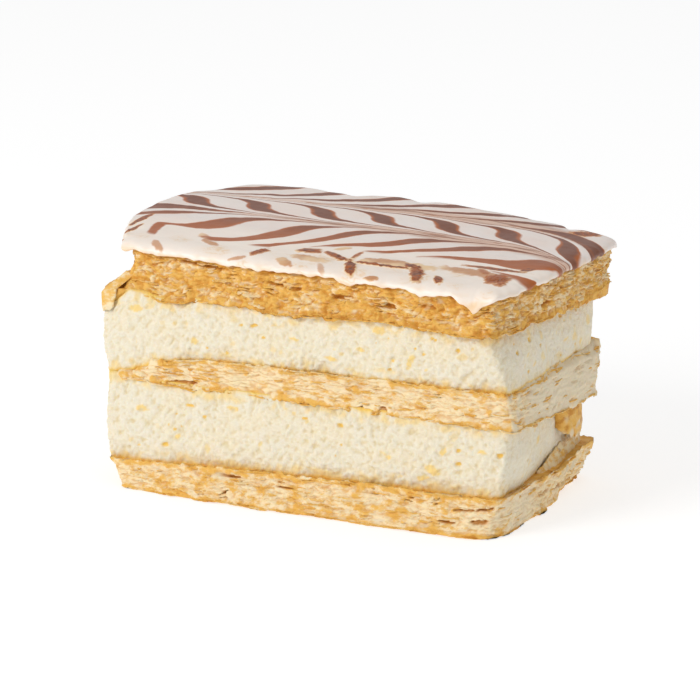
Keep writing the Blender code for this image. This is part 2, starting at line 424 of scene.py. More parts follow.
class Nodes:
    """A material under construction: nodes are added and wired by short calls."""

    def __init__(self, name):
        self.material = bpy.data.materials.new(name)
        self.material.use_nodes = True
        self.tree = self.material.node_tree
        self.shader = self.tree.nodes["Principled BSDF"]
        self.place = self.node("ShaderNodeTexCoord", {}, "Object")

    def put(self, node, socket, value):
        """Sets a socket, or wires it when the value is another node's output."""
        target = node.inputs[socket]
        if isinstance(value, bpy.types.NodeSocket):
            self.tree.links.new(value, target)
        else:
            target.default_value = value

    def node(self, kind, inputs, output=0, **settings):
        """The output of a new node."""
        made = self.tree.nodes.new(kind)
        for key, value in settings.items():
            setattr(made, key, value)
        for socket, value in inputs.items():
            self.put(made, socket, value)
        return made.outputs[output]

    def attribute(self, name):
        """A colour field of the mesh."""
        return self.node("ShaderNodeAttribute", {}, "Fac", attribute_name=name)

    def math(self, operation, first, second, clamp=False):
        """A sum, product or the like of two numbers."""
        return self.node("ShaderNodeMath", {0: first, 1: second}, operation=operation, use_clamp=clamp)

    def ramp(self, value, low, high, to_low=0.0, to_high=1.0):
        """A smooth step between two results."""
        inputs = {"Value": value, "From Min": low, "From Max": high, "To Min": to_low, "To Max": to_high}
        return self.node("ShaderNodeMapRange", inputs, interpolation_type="SMOOTHSTEP")

    def mix(self, share, first, second):
        """A mix of two colours, each of them three numbers or another node's output."""
        first, second = ((*end, 1) if isinstance(end, tuple) else end for end in (first, second))
        return self.node("ShaderNodeMix", {0: share, 6: first, 7: second}, 2, data_type="RGBA")

    def noise(self, sizes, detail=3.0, roughness=0.55):
        """Noise whose features have the given sizes in millimetres along X, Y and Z."""
        scale = tuple(1 / (size * MM) for size in sizes)
        scaled = self.node("ShaderNodeMapping", {"Vector": self.place, "Scale": scale})
        inputs = {"Vector": scaled, "Scale": 1.0, "Detail": detail, "Roughness": roughness}
        return self.node("ShaderNodeTexNoise", inputs)

    def bump(self, height, distance, strength):
        """Fine relief of a depth in millimetres."""
        inputs = {"Height": height, "Distance": distance * MM, "Strength": strength}
        self.put(self.shader, "Normal", self.node("ShaderNodeBump", inputs))

    def finish(self, colour, **sockets):
        """The material, with its colour and its constant sockets set."""
        self.put(self.shader, "Base Color", colour)
        for key, value in sockets.items():
            self.put(self.shader, key.replace("_", " "), value)
        return self.material


def cream_material():
    """Pale whipped cream: light passes a little way into it, its pits glow yellow, and painted shade darkens
    its creases.
    """
    m = Nodes("whipped_cream")
    broad = m.noise((9, 9, 7), 2.0)
    fine = m.noise((0.8, 0.8, 0.6), 4.0, 0.65)
    base = m.mix(m.ramp(broad, 0.35, 0.7), CREAM_PALE, CREAM_WARM)
    base = m.mix(m.ramp(fine, 0.45, 0.7, 0.0, 0.5), base, CREAM_LIGHT)
    crust = m.mix(m.ramp(fine, 0.4, 0.6), CRUST_TAN, CRUST_TAN_DARK)
    # Patches, pits and crust are the cream's own colours; the crease colour is painted shade, and the pit
    # colour also lies in the shaded gaps at the cream's edges.
    stains_and_shade = {"patch": CREAM_PATCH, "crease_shade": CREAM_CREASE_SHADE, "pit_and_gap_shade": CREAM_PIT_AND_GAP_SHADE, "crust": crust}
    for field, colour in stains_and_shade.items():
        base = m.mix(m.attribute(field), base, colour)
    m.bump(m.noise((0.55, 0.55, 0.45), 3.0, 0.65), 0.3, 0.9)
    m.shader.subsurface_method = "RANDOM_WALK"
    return m.finish(base, Roughness=0.6, Subsurface_Weight=0.2, Subsurface_Radius=(1.0, 0.75, 0.4),
                    Subsurface_Scale=1.2 * MM, Specular_IOR_Level=0.3)


def pastry_material():
    """Baked leaves: pale crumb, golden crust and browned edges, with painted shade in the gaps and hollows.
    """
    m = Nodes("puff_pastry")
    mottle = m.noise((2.6, 2.6, 1.4), 3.0, 0.55)
    speck = m.noise((0.7, 0.7, 0.5), 3.0, 0.65)
    toast = m.math("ADD", m.attribute("toast"), m.ramp(mottle, 0.3, 0.72, -0.2, 0.24))
    toast = m.math("ADD", toast, m.ramp(speck, 0.32, 0.68, -0.06, 0.06), clamp=True)
    base = m.mix(m.ramp(toast, 0.05, 0.55), CRUMB, GOLDEN)
    base = m.mix(m.ramp(toast, 0.6, 1.0), base, BROWN)
    # Painted shade darkens the hollows between lumps.
    base = m.mix(m.math("MULTIPLY", m.attribute("crevice_shade"), 0.9), base, CREVICE_SHADE)
    # Cream smeared over the pastry, in a colour darkened with painted shade.
    base = m.mix(m.attribute("smear"), base, SMEAR_SHADED)
    # Painted shade darkens the slits and the roots of loose leaves.
    base = m.mix(m.attribute("cavity"), base, DEEP_SHADE_BROWN)
    m.bump(speck, 0.2, 0.8)
    return m.finish(base, Roughness=0.6, Subsurface_Weight=0.1, Subsurface_Radius=(1.0, 0.55, 0.25),
                    Subsurface_Scale=0.8 * MM, Specular_IOR_Level=0.3)


def icing_material():
    """Set white icing with chocolate lines, which a knife has dragged: it is glossy all over."""
    m = Nodes("feathered_icing")
    # The lines run where the order is a whole number.
    ripple = m.ramp(m.noise((3.5, 3.5, 3.5), 3.0), 0.2, 0.8, -0.25, 0.25)
    off = m.math("MULTIPLY", m.math("PINGPONG", m.attribute("line_order"), 0.5), LINE_SPACING)
    inside = m.math("SUBTRACT", m.math("ADD", m.attribute("line_half"), ripple), off)
    line = m.math("MULTIPLY", m.ramp(inside, -0.5, 0.4), m.attribute("line_shown"))
    thick = m.math("MULTIPLY", m.ramp(inside, 0.1, 1.5), m.ramp(m.attribute("far"), 0.0, 1.0, 0.15, 1.0))
    smudge = m.attribute("smudge")
    clot = m.ramp(m.noise((1.1, 1.1, 1.1), 3.0, 0.6), 0.4, 0.6, 0.2, 1.0)
    thick = m.math("MAXIMUM", thick, m.math("MULTIPLY", m.ramp(smudge, 0.7, 1.0), clot))
    streaks = m.ramp(m.noise((24, 1.2, 4), 2.0, 0.5), 0.47, 0.62)
    cloud = m.noise((14, 14, 10), 2.0)
    base = m.mix(m.ramp(cloud, 0.35, 0.7), ICING_WHITE, ICING_PINK)
    # Painted light: the icing is lighter and warmer towards the front.
    base = m.mix(m.ramp(m.attribute("far"), 0.0, 0.5, 0.75, 0.0), base, ICING_NEAR_LIT)
    base = m.mix(m.attribute("thin"), base, ICING_THIN)
    mixed = m.mix(streaks, ICING_MIXED, STREAK)
    base = m.mix(m.ramp(m.attribute("stroke"), 0.15, 0.75, 0.0, 0.9), base, mixed)
    smeared = m.mix(m.ramp(cloud, 0.45, 0.6), SMEAR_TAN, ICING_THIN)
    base = m.mix(m.ramp(smudge, 0.05, 0.5), base, smeared)
    chocolate = m.math("MAXIMUM", line, m.ramp(smudge, 0.55, 0.85))
    base = m.mix(chocolate, base, m.mix(thick, CHOCOLATE_THIN, CHOCOLATE))
    m.bump(m.noise((1.3, 1.3, 1.3), 3.0, 0.5), 0.05, 0.6)
    m.shader.subsurface_method = "RANDOM_WALK"
    return m.finish(base, Roughness=0.38, Subsurface_Weight=0.15, Subsurface_Radius=(1.0, 0.8, 0.7),
                    Subsurface_Scale=1.0 * MM, Specular_IOR_Level=0.35, Coat_Weight=0.15, Coat_Roughness=0.2)


MATERIALS = {"cream": cream_material(), "pastry": pastry_material(), "icing": icing_material()}


# ---- marks on the faces


def cells(points, seed):
    """A random level, from 0 to 1, for each unit cell."""
    return (hashed(np.floor(points).astype(np.int64), seed) & 1023) / 1023.0


def bent(points, size, amount, seed):
    """Points pushed about by noise of a wavelength."""
    return points + amount * np.stack([noise(points / size, seed + axis) for axis in range(3)], -1)


def oval(gap, rise, width, tall, tilt):
    """How far a place is from an oval's middle, where 1 is its edge. A positive tilt rises along the
    first axis."""
    lean = math.radians(tilt)
    u = (gap * math.cos(lean) + rise * math.sin(lean)) / width
    return np.hypot(u, (rise * math.cos(lean) - gap * math.sin(lean)) / tall)


class Marks:
    """Irregular oval marks on a skin's faces, placed by x or y, and height."""

    def __init__(self, skin, seed):
        self.skin = skin
        self.wobble = 0.42 * noise(skin.wall / 0.9, seed) + 0.3 * noise(skin.wall / 2.4, seed + 1)

    def mark(self, face, place, height, width, tall, tilt=0.0):
        """1 within the mark and 0 outside it."""
        wall = self.skin.wall
        facing = self.skin.outward @ np.array(face) > 0.72
        run = wall[..., 0] if face in (FRONT, BACK) else wall[..., 1]
        away = oval(run - place, wall[..., 2] - height, width, tall, tilt)
        return step(1.0, 0.6, away + self.wobble) * facing

    def scattered(self, count, random, widths, flatness, tilts=(0, 0), faces=FACES):
        """Marks of random places and sizes, each with its width."""
        wall = self.skin.wall
        for _ in range(count):
            face = faces[random.integers(len(faces))]
            columns = np.flatnonzero(self.skin.outward @ np.array(face) > 0.9)
            column = columns[random.integers(len(columns))]
            axis = 0 if face in (FRONT, BACK) else 1
            low, high = wall[0, column, 2], wall[-1, column, 2]
            height = low + (high - low) * random.uniform(0.08, 0.92)
            width = random.uniform(*widths)
            tall = width * random.uniform(*flatness)
            yield self.mark(face, wall[0, column, axis], height, width, tall, random.uniform(*tilts)), width


# ---- cream

# Pits and yellow patches of the front face: x, height, half width, half height and any tilt.
FRONT_PITS = {
    "upper_cream": ((-14.2, 47, 1.2, 0.6, 12), (-17.7, 46.8, 0.6, 0.45), (42.8, 47.5, 0.8, 0.5),
                    (31.3, 46.7, 0.5, 0.4), (36.8, 49.5, 0.5, 0.4), (24.8, 42.5, 0.5, 0.4),
                    (23.8, 40, 0.7, 0.45)),
    "lower_cream": ((-32.7, 23.7, 1.3, 0.5), (-28.2, 21.3, 0.6, 0.5), (-39.7, 12.3, 1.3, 0.7),
                    (10.3, 24, 1.0, 0.6), (0.3, 24.5, 1.0, 0.5), (42.8, 21.5, 0.7, 0.5),
                    (42.8, 18, 0.9, 0.5), (53.8, 21.5, 0.9, 0.7), (10.8, 19, 0.5, 0.4)),
}
FRONT_PATCHES = {
    "upper_cream": ((-48.2, 47.5, 2.6, 1.1), (-57, 46, 1.6, 2), (-31.2, 41, 1.6, 1),
                    (-3.2, 45, 2.1, 0.7, -5), (7.8, 41, 0.8, 2, 85), (29.8, 43, 2.5, 1, 60),
                    (15.8, 44.5, 1.3, 0.7), (-9.2, 51, 2.6, 1.3), (20.8, 50, 2.6, 1.3)),
    "lower_cream": ((-46.2, 21.5, 2.1, 1), (-20, 24.5, 1.6, 0.9), (33, 13, 1.8, 0.9, 20),
                    (36, 15.5, 2.6, 1.4, -20), (49, 22, 1.4, 0.7), (38.8, 20.8, 1.6, 1.0, 60),
                    (12.6, 9.5, 3.0, 1.0), (-36, 15, 1.5, 0.8, 30), (24, 17.5, 1.2, 0.8)),
}


def left_end(x, y):
    """1 at the left end, where the top sheet flares out, and 0 elsewhere."""
    return step(-50, -56, x) * step(24, 10, y)


def back_right(wall, outward):
    """1 at the back end of the right face and 0 elsewhere."""
    return step(9, 24, wall[..., 1]) * step(0.1, 0.6, outward[:, 0])


def behind_crust_line(wall, normal):
    """1 on the right face where the bottom sheet's crust shows, below a line that rises backwards."""
    line = 1.5 + 0.62 * (wall[..., 1] + 13.0) + 2.2 * noise(wall / 4.5, 301) + 0.8 * noise(wall / 1.5, 302)
    line = np.minimum(line, 15.0 + 1.5 * noise(wall / 3.0, 303))
    return step(-0.6, 0.6, line - wall[..., 2]) * step(0.4, 0.8, normal[..., 0])


def make_cream(node, seed):
    """A layer of cream: rough and torn where it was cut, with small pits and yellow patches."""
    skin = Skin(node, 0.31, 0.34)
    wall, normal = skin.wall, skin.normal
    # The knife's smears run up to the right across the front and the back.
    slant = at(skin.along - 0.8 * wall[..., 2], wall[..., 2] + 0.8 * skin.along, 0)
    lumps = bent(wall, 2.5, 0.5, seed + 40)
    relief = 0.40 * fractal(wall / 8.0, 2, seed)
    relief += 0.26 * fractal(slant / (2.0, 4.5, 1.0), 2, seed + 5)
    relief += 0.24 * noise(lumps / 1.7, seed + 9) + 0.27 * noise(lumps / 0.95, seed + 10)
    relief += 0.16 * noise(wall / 0.68, seed + 11)
    calm = 1 - 0.45 * step(0.5, 0.9, skin.outward[:, 0])
    relief = relief * calm
    torn = step(0.1, 0.5, noise(wall / 9.0, seed + 3))
    relief -= torn * 0.5 * np.clip(0.25 - np.abs(noise(lumps / 2.1, seed + 13)), 0, 1) * 2
    fine = relief - blurred(blurred(relief, 3, 0), 3, 1, wrap=True)
    # Painted shade darkens the creases, more so on the lower cream.
    crease_shade = np.clip(-fine / 0.30, 0, 1) * (0.95 if node == "lower_cream" else 0.8)

    marks = Marks(skin, seed + 20)
    random = np.random.default_rng(seed)
    pit_and_gap_shade, patch = np.zeros_like(relief), np.zeros_like(relief)
    pits = [(marks.mark(FRONT, *place), place[2]) for place in FRONT_PITS[node]]
    pits += marks.scattered(26, random, (0.35, 0.6), (0.6, 0.9))
    pits += marks.scattered(16, random, (0.6, 1.1), (0.4, 0.7), faces=(RIGHT, BACK, LEFT))
    for mark, width in pits:
        pit_and_gap_shade = np.maximum(pit_and_gap_shade, mark)
        relief = relief - mark * min(width, 0.9) * 0.55
    for place in FRONT_PATCHES[node]:
        patch = np.maximum(patch, 0.95 * marks.mark(FRONT, *place))
    for mark, width in marks.scattered(70, random, (0.5, 1.7), (0.35, 0.9), (-20, 90)):
        patch = np.maximum(patch, mark * random.uniform(0.2, 0.8))
    # Butter from the pastry has stained the cream next to it.
    reach = np.minimum(1 - skin.share, skin.share)[:, None] * skin.thickness
    stain = step(3.2, 0.4, reach + 2.4 * noise(wall / (3.0, 3.0, 2.0), seed + 31)) * (1 - 0.6 * (calm < 0.8))
    patch = np.maximum(patch, 0.75 * stain * step(-0.25, 0.25, noise(wall / 2.2, seed + 32)))
    # The cream laps a little way over the sheets above and below it.
    lap = step(0.94, 1.0, skin.share) - 0.3 * step(0.06, 0.0, skin.share)
    lap = lap[:, None] * (0.9 + 0.8 * noise(wall / 3.0, seed + 30))
    wall = wall + normal * (relief - 0.1)[..., None]
    wall[..., 2] += lap
    if node == "upper_cream":
        # The sheets above and below it gape at the back of the right face.
        share = skin.share[:, None]
        wall[..., 2] += (4.0 * share**3 - 2.2 * (1 - share) ** 3) * back_right(wall, skin.outward)
        # Its left end slopes down under the flaring leaf.
        sunk = 3.5 * left_end(*wall[-1, :, :2].T)
        wall[..., 2] -= sunk * share**2
        skin.top_z = skin.top_z - sunk
    crust = behind_crust_line(skin.wall, skin.normal) * (node == "lower_cream")
    wall += normal * (1.8 * blurred(crust, 3, 1, wrap=True))[..., None]
    # Painted shade: where the cream meets a sheet, its edge rows take the pit's orange, so that the shaded
    # gap there shows as a brown line.
    meeting = np.maximum(step(0.045, 0.0, skin.share), step(0.97, 1.0, skin.share))[:, None]
    pit_and_gap_shade = np.maximum(pit_and_gap_shade * 0.9, 0.8 * meeting)
    fields = spread({"pit_and_gap_shade": pit_and_gap_shade, "patch": patch, "crease_shade": crease_shade, "crust": crust})
    points = skin.closed(wall, 0.9, -0.9)
    finished(node + "_cut", points, tube_faces(*points.shape[:2]), fields, "cream", node)
    return skin


# ---- pastry

# How thick a baked leaf is.
LEAF = 1.05
# The sizes of the lumps and of the crumbs on each sheet.
SHAPES = {
    "top_pastry": ((2.7, 2.7, 1.7), (1.2, 1.2, 0.8)),
    "middle_pastry": ((4.6, 4.6, 1.0), (2.2, 2.2, 0.55)),
    "bottom_pastry": ((4.6, 4.6, 1.0), (2.2, 2.2, 0.55)),
}
# How far the top sheet's left end is hollowed above its flaring foot.
FLARE_HOLLOW = 2.8

# Dark gaps of the front face: x, height, half width, half height and any tilt.
FRONT_GAPS = {
    "top_pastry": ((-33, 60.2, 7, 0.45, -4), (-28, 59.9, 3.5, 0.8, -6), (-9, 58, 3.2, 0.6),
                   (-2.7, 57.5, 1.8, 0.5), (9.8, 57, 3.2, 0.6), (22.5, 56.5, 3.8, 0.7, 3),
                   (34.3, 57.5, 3, 0.6)),
    "middle_pastry": ((-36, 29.5, 6, 0.5, 4), (-20, 29.2, 3, 0.4), (15.3, 29, 4, 0.5),
                      (21.8, 29, 1.5, 1.0), (35, 28.4, 5, 0.7, -2), (44, 27.8, 6, 0.8, -4)),
    "bottom_pastry": ((-20, 6.8, 4, 0.35), (-4, 6, 3, 0.35), (41, 10.6, 3, 0.5, -4),
                      (46.5, 10.2, 3.2, 0.6, -4), (49, 4, 3, 0.7, 5), (51, 7.4, 3, 0.5, 8),
                      (45, 6.6, 4, 0.4, 5), (40, 3.2, 3, 0.4)),
}


def baked_leaves(skin, height, soft, seed):
    """The leaf that each point is in, its distance from that leaf's seams, and random levels, from
    0 to 1, for each flake and each crumb."""
    wall, shift = skin.wall, soft - skin.wall
    level = height + 1.5 * noise(at(wall[..., 0] / 15, wall[..., 1] / 15, height / 7), seed)
    level = (level + 0.9 * shift[..., 2]) / LEAF + 0.3 * noise(wall / (5, 5, 2), seed + 1)
    leaf = np.floor(level)
    from_seam = np.minimum(level - leaf, 1 - (level - leaf)) * LEAF
    run = skin.along + 1.2 * shift[..., 0]
    flake = cells(at(run / 2.3 + 3.7 * leaf, leaf, 0), seed + 2)
    return leaf, from_seam, flake, cells(at(run / 0.8, level * 1.7, 0), seed + 3)


def make_pastry(node, seed, toast_level, wildness):
    """A sheet of puff pastry: crumbling leaves that stand out by different amounts, with slits
    between them, and a browned crust above and below."""
    skin = Skin(node, 0.2, 0.335)
    wall, normal = skin.wall, skin.normal
    x, y = wall[..., 0], wall[..., 1]
    share = np.broadcast_to(skin.share[:, None], x.shape)
    to_foot = share * skin.thickness
    to_top = skin.thickness - to_foot
    soft = bent(bent(wall, 2.4, 0.6, seed + 40), 0.8, 0.22, seed + 43)
    leaf, from_seam, flake, crumb = baked_leaves(skin, to_foot, soft, seed)

    # Round lumps of crumb, each leaf and flake standing out by its own amount.
    lump, crumbs = SHAPES[node]
    bulb = np.abs(noise(soft / lump, seed + 5))
    grain = np.abs(noise(soft / crumbs, seed + 9))
    relief = 0.5 * (flake - 0.5) + 0.14 * (crumb - 0.5) + 1.15 * (bulb - 0.25) + 0.38 * (grain - 0.25)
    relief += 0.34 * noise(at(x / 5, y / 5, leaf * 5.3), seed + 4)
    # Painted shade marks the hollows between lumps.
    crevice_shade = np.maximum(step(0.15, 0.0, bulb), 0.5 * step(0.12, 0.0, grain))
    crust = np.clip(step(1.5, 0.5, to_top) + step(1.3, 0.4, to_foot), 0, 1)
    relief = relief * wildness * (1 - 0.45 * crust) + 0.3 * crust

    # Slits open between leaves, and grooves run along all their seams.
    closed = 0.34 if node == "top_pastry" else 0.42
    opening = 0.62 * (noise(at(x / 4.5, y / 4.5, leaf * 3.7), seed + 6) - closed)
    slit = step(0.0, 0.14, opening * (1 - 0.6 * crust) - from_seam)
    groove = step(0.2, 0.0, from_seam) * (1 - crust)
    marks = Marks(skin, seed + 20)
    for place in FRONT_GAPS[node]:
        slit = np.maximum(slit, marks.mark(FRONT, *place))
    random = np.random.default_rng(seed)
    for mark, _ in marks.scattered(9, random, (1.5, 4.5), (0.12, 0.22), (-8, 8), (RIGHT, BACK, LEFT)):
        slit = np.maximum(slit, mark)
    relief -= slit * 1.0 + groove * 0.18 * wildness
    relief += 0.45 * noise(wall / 7.0, seed + 8)

    # Painted shade darkens what lies deep, the crust is toasted, and cream with painted shade in its colour
    # is smeared over some of the right face.
    smooth = blurred(blurred(relief, 5, 0), 3, 1, wrap=True)
    # Painted shade in the slits, darker where they lie deep.
    cavity = slit * (0.55 + 0.45 * np.clip((smooth - relief) / 1.0, 0, 1))
    crevice_shade = np.clip(0.75 * crevice_shade + (smooth - relief - 0.1) / 0.9, 0, 1)
    crevice_shade = crevice_shade * (1.0 if node == "top_pastry" else 0.6)
    patchy = fractal(soft / (5, 5, 3), 3, seed + 11)
    toast = toast_level + 0.38 * patchy + 0.26 * (flake - 0.5) + 0.14 * (crumb - 0.5)
    toast += 0.34 * crust * (0.8 + 0.6 * noise(wall / 3.5, seed + 12))
    to_right = step(0.3, 0.9, normal[..., 0])
    toast -= 0.12 * to_right
    smear_side = {"top_pastry": 0.0, "middle_pastry": 1.0,
                  "bottom_pastry": 0.7 * (1 - behind_crust_line(wall, normal)) * step(-8, -20, y)}[node]
    near_corner = step(-19, -26, y) * step(-0.3, 0.3, noise(soft / 3.0, seed + 17))
    smear = smear_side * to_right * step(-0.8, -0.1, noise(soft / 3.0, seed + 13)) * (1 - near_corner)
    toast -= 0.5 * smear
    smear = np.maximum(smear, 0.55 * step(0.35, 0.6, noise(soft / (4, 4, 1.5), seed + 14)))
    relief = relief * (1 - 0.55 * smear)

    if node == "bottom_pastry":
        # Its foot is broad but for the back right, and burnt at the front right corner.
        relief += 0.9 * step(6.0, 0.0, to_foot) - 2.4 * (1 - share) ** 2 * to_right * step(0, 12, y)
        toast += 0.5 * step(2.2, 0.4, to_foot) * step(36, 50, x) * step(-14, -20, y)
    # The crumbling edges hang a little way over the cream.
    ragged = 0.55 + 0.75 * noise(soft / (2.2, 2.2, 9), seed + 15) + 0.5 * noise(soft / 0.9, seed + 16)
    ragged = np.clip(ragged, 0, 2)
    corner = back_right(wall, skin.outward)
    if node == "middle_pastry":
        wall = wall - at(0, 0, 2.2 * share**2 * corner)
    if node == "top_pastry":
        # At the left end a smooth golden leaf flares out over the cream.
        flare = left_end(x, y)
        relief = relief * (1 - 0.75 * flare)
        crevice_shade, cavity = crevice_shade * (1 - 0.8 * flare), cavity * (1 - flare)
        toast = toast * (1 - 0.6 * flare) + 0.33 * flare
        relief -= FLARE_HOLLOW * flare * step(0.02, 0.4, share) * step(1.0, 0.75, share)
        wall = wall + at(0, 0, (3.8 * corner - 3.0 * flare) * (1 - share) ** 2)
    wall = wall + normal * relief[..., None]
    if node != "bottom_pastry":
        wall[..., 2] -= step(1.6, 0.0, to_foot) * ragged
    # The top edge is worn round under the icing and at the middle sheet's right end. The other top
    # edges stand out and up.
    worn = {"top_pastry": 1.0, "middle_pastry": 1.8 * to_right, "bottom_pastry": 0.0}[node]
    wall -= normal * (step(1.3, 0.0, to_top) * worn)[..., None]
    if node != "top_pastry":
        wall += normal * (0.45 * step(1.6, 0.2, to_top) * (1 - to_right))[..., None]
        wall[..., 2] += 0.9 * step(1.6, 0.0, to_top) * ragged
    points = skin.closed(wall, -0.9 if node == "top_pastry" else 0.0)
    rough = 0.25 * fractal(points / 2.0, 3, seed + 21)
    fields = spread({"toast": np.clip(toast, 0, 1), "cavity": cavity * (1 - smear),
                     "smear": 0.85 * smear, "crevice_shade": crevice_shade})
    for rings, shade, contrast in ((slice(0, RINGS), 0.7, 0.3), (slice(-RINGS, None), 0.6, 0.5)):
        points[rings, :, 2] += rough[rings]
        fields["cavity"][rings] = 0
        fields["toast"][rings] = shade + contrast * rough[rings]
    points[..., 2] = np.maximum(points[..., 2], 0.0)
    finished(node + "_leaves", points, tube_faces(*points.shape[:2]), fields, "pastry", node)
    return skin, wall


def add_flakes(pile, skin, wall, count, share_range, reach, length, seed, toast, tilt):
    """Torn leaves that stick out of a sheet's side at heights in share_range, as shares of it."""
    random = np.random.default_rng(seed)
    columns = len(skin.along)
    width = skin.round / columns
    for _ in range(count):
        start = random.integers(columns)
        run = random.uniform(*length)
        steps = max(5, int(run / 0.55))
        share = random.uniform(*share_range)
        out = random.uniform(*reach)
        lean = random.uniform(*tilt)
        curl = random.uniform(-0.25, 0.25)
        spot = (start + np.linspace(0, run / width, steps).round().astype(int)) % columns
        wander = share + 0.035 * noise(at(np.linspace(0, run / 4, steps), share * 9, seed), start)
        row = np.clip(wander * (skin.rows - 1), 0, skin.rows - 1).astype(int)
        root = blurred(wall[row, spot], 1.5, 0)
        facing = np.concatenate([skin.outward[spot], np.zeros((steps, 1))], -1)
        along = np.linspace(0, 1, steps)
        ragged = 0.72 + 0.5 * noise(at(along * run / 1.1, share, 0), start + 7)
        ragged *= np.sin(math.pi * along) ** 0.35
        across = np.array([-0.9, -0.2, 0.35, 0.75, 1.0])
        far = np.where(across < 0, across[None], across[None] * (out * np.clip(ragged, 0.1, 2))[:, None])
        grid = root[:, None] + facing[:, None] * far[..., None]
        grid[..., 2] += lean * np.maximum(far, 0) + curl * np.maximum(far, 0) ** 2
        grid[..., 2] += 0.12 * noise(grid / 1.5, start + 11)
        shade = toast + random.uniform(-0.2, 0.2) + 0.25 * np.maximum(far, 0) / max(out, 0.1)
        # Painted shade darkens the part of the leaf that goes into the sheet's side.
        pile.add_leaf(grid, FLAKE_THICKNESS, toast=np.clip(shade, 0, 1), cavity=np.clip(-far * 0.7, 0, 0.6))


def add_curtain(pile, skin, ends, tops, feet, stand, seed, toast, pale):
    """A leaf that hangs against a skin. It runs between two ends, each a face and a place along it,
    with a top and a foot at each of them. It stands off the wall by the amounts at its top, middle
    and foot, and it is paler towards its foot."""
    first, last = (skin.column(*end) for end in ends)
    columns = np.arange(first, last if last > first else last + len(skin.along)) % len(skin.along)
    along, outward = skin.along[columns], skin.outward[columns]
    across = np.linspace(0, 1, len(columns))
    share = np.linspace(0, 1, 26)[:, None]
    edge = np.sin(math.pi * across) ** 0.3
    top = tops[0] + (tops[1] - tops[0]) * across + 0.9 * noise(at(along / 2.5, 5, 0), seed)
    foot = feet[0] + (feet[1] - feet[0]) * across + 3 * (1 - edge)
    foot += 1.5 * noise(at(along / 3.0, 0, 0), seed) + 0.8 * noise(at(along / 1.1, 0, 0), seed + 4)
    z = top + (foot - top) * share
    grid = np.empty(z.shape + (3,))
    for k, column in enumerate(columns):
        for axis in (0, 1):
            grid[:, k, axis] = np.interp(z[:, k], skin.wall[:, column, 2], skin.wall[:, column, axis])
    grid[..., 2] = z
    off = np.broadcast_to(np.interp(share, (0, 0.5, 1), stand), z.shape)
    off = np.where(off > 0, off * edge, off) + 0.4 * noise(grid / 2.5, seed + 1)
    off += 0.15 * noise(grid / 0.9, seed + 3)
    grid[..., :2] += off[..., None] * outward
    shade = toast + 0.3 * noise(grid / 2.5, seed + 2) + 0.2 * noise(grid / 0.9, seed + 5)
    smear = step(0.0, 0.6, noise(grid / 3.0, seed + 6) + 2 * pale - 1 + share)
    pile.add_leaf(grid, CURTAIN_THICKNESS, toast=np.clip(shade, 0, 1), smear=0.8 * smear)


# ---- icing

# Where the lines of chocolate were piped across the slice, as x before a knife dragged them.
LINES = (-70, -52.5, -34.5, -15.5, 1.5, 20, 36, 54.5, 78)

# The knife's strokes along the slice: how far it drags the lines along X at the left and at the
# right end, how far from it they feel that towards the front and the back, how blunt it is, and
# points (x, y) of its way. The last stroke passed behind the slice.
STROKES = (
    (-17.0, -30.0, 60.0, 6.0, 1.4,
     ((-62, -6), (-51, -10.3), (-39, -16.8), (-29, -20.8), (-15, -18.3), (-6, -13.8), (1, -11.3),
      (9, -13.8), (24, -11.3), (34, -10.8), (41, -13.3), (49, -18.8), (56, -23))),
    (39.0, 39.0, 1.8, 1.46, 0.15,
     ((-62, 4.6), (-51, 5.2), (-41, 6), (-20, 6.2), (9, 6.5), (24, 7.2), (34, 7.9), (44, 7.2), (49, 5.7),
      (54, 2.7), (57, -1.5))),
    (-45.0, -45.0, 1.3, 5.0, 0.15,
     ((-62, 17.5), (-46, 19.7), (-11, 19.7), (9, 19.7), (24, 20.7), (34, 22.7), (44, 22.7), (51, 21.2),
      (56, 17.2), (60, 11))),
    (40.0, 40.0, 3.5, 3.5, 1.0, ((-62, 44), (62, 41))),
)

# Smears of chocolate near the front: x, y, half length, half width, tilt and strength. The front
# face counts as a continuation of the top, so that y goes on downwards there.
SMUDGES = (
    (21, -19.8, 14.0, 3.4, 0, 0.5), (41, -19.0, 13.0, 3.2, -12, 0.5), (44, -13.2, 11.0, 1.3, -2, 1.0),
    (52, -10.5, 2.8, 1.8, 60, 1.0), (17, -22.6, 12.0, 1.2, 0, 0.95), (7.8, -16.5, 4.6, 0.9, 90, 0.85),
    (-58.6, -7.5, 6.5, 1.4, 84, 1.0), (-57.0, -17.5, 6.5, 1.2, 81, 0.95),
    (-56.5, -25.5, 2.2, 1.3, 60, 0.95), (-2, -24, 7.0, 3.0, -10, 0.45), (-5, -17.6, 3.9, 2.8, 10, 0.95),
    (3.6, -19.6, 7.0, 1.6, -33, 1.0), (10.6, -26.6, 7.0, 1.7, -65, 1.0), (2, -12.8, 3.0, 1.4, 40, 0.45),
    (25, -20.1, 4.4, 1.7, -35, 1.0), (28.6, -26, 7.4, 2.1, -68, 1.0), (35.4, -28.4, 4.2, 1.3, -62, 1.0),
    (-16.2, -23.6, 4.4, 1.7, 73, 0.9), (48.7, -22.6, 6.2, 3.6, -70, 0.85), (43, -17.2, 5.0, 1.6, -50, 0.75),
    (-35, -17, 5.4, 1.5, -40, 0.4), (-31.5, -21.2, 4.4, 1.5, -30, 0.45), (-7, -28.5, 4.4, 1.9, -45, 0.5),
    (19, -32.5, 2.6, 1.5, 0, 0.7), (53.2, 26.2, 5.0, 2.7, 25, 0.95), (-20, -29, 3.4, 1.2, 30, 0.4),
    (-44, -27, 4.4, 1.4, -50, 0.4), (4, -30, 4.0, 1.2, -60, 0.35),
)

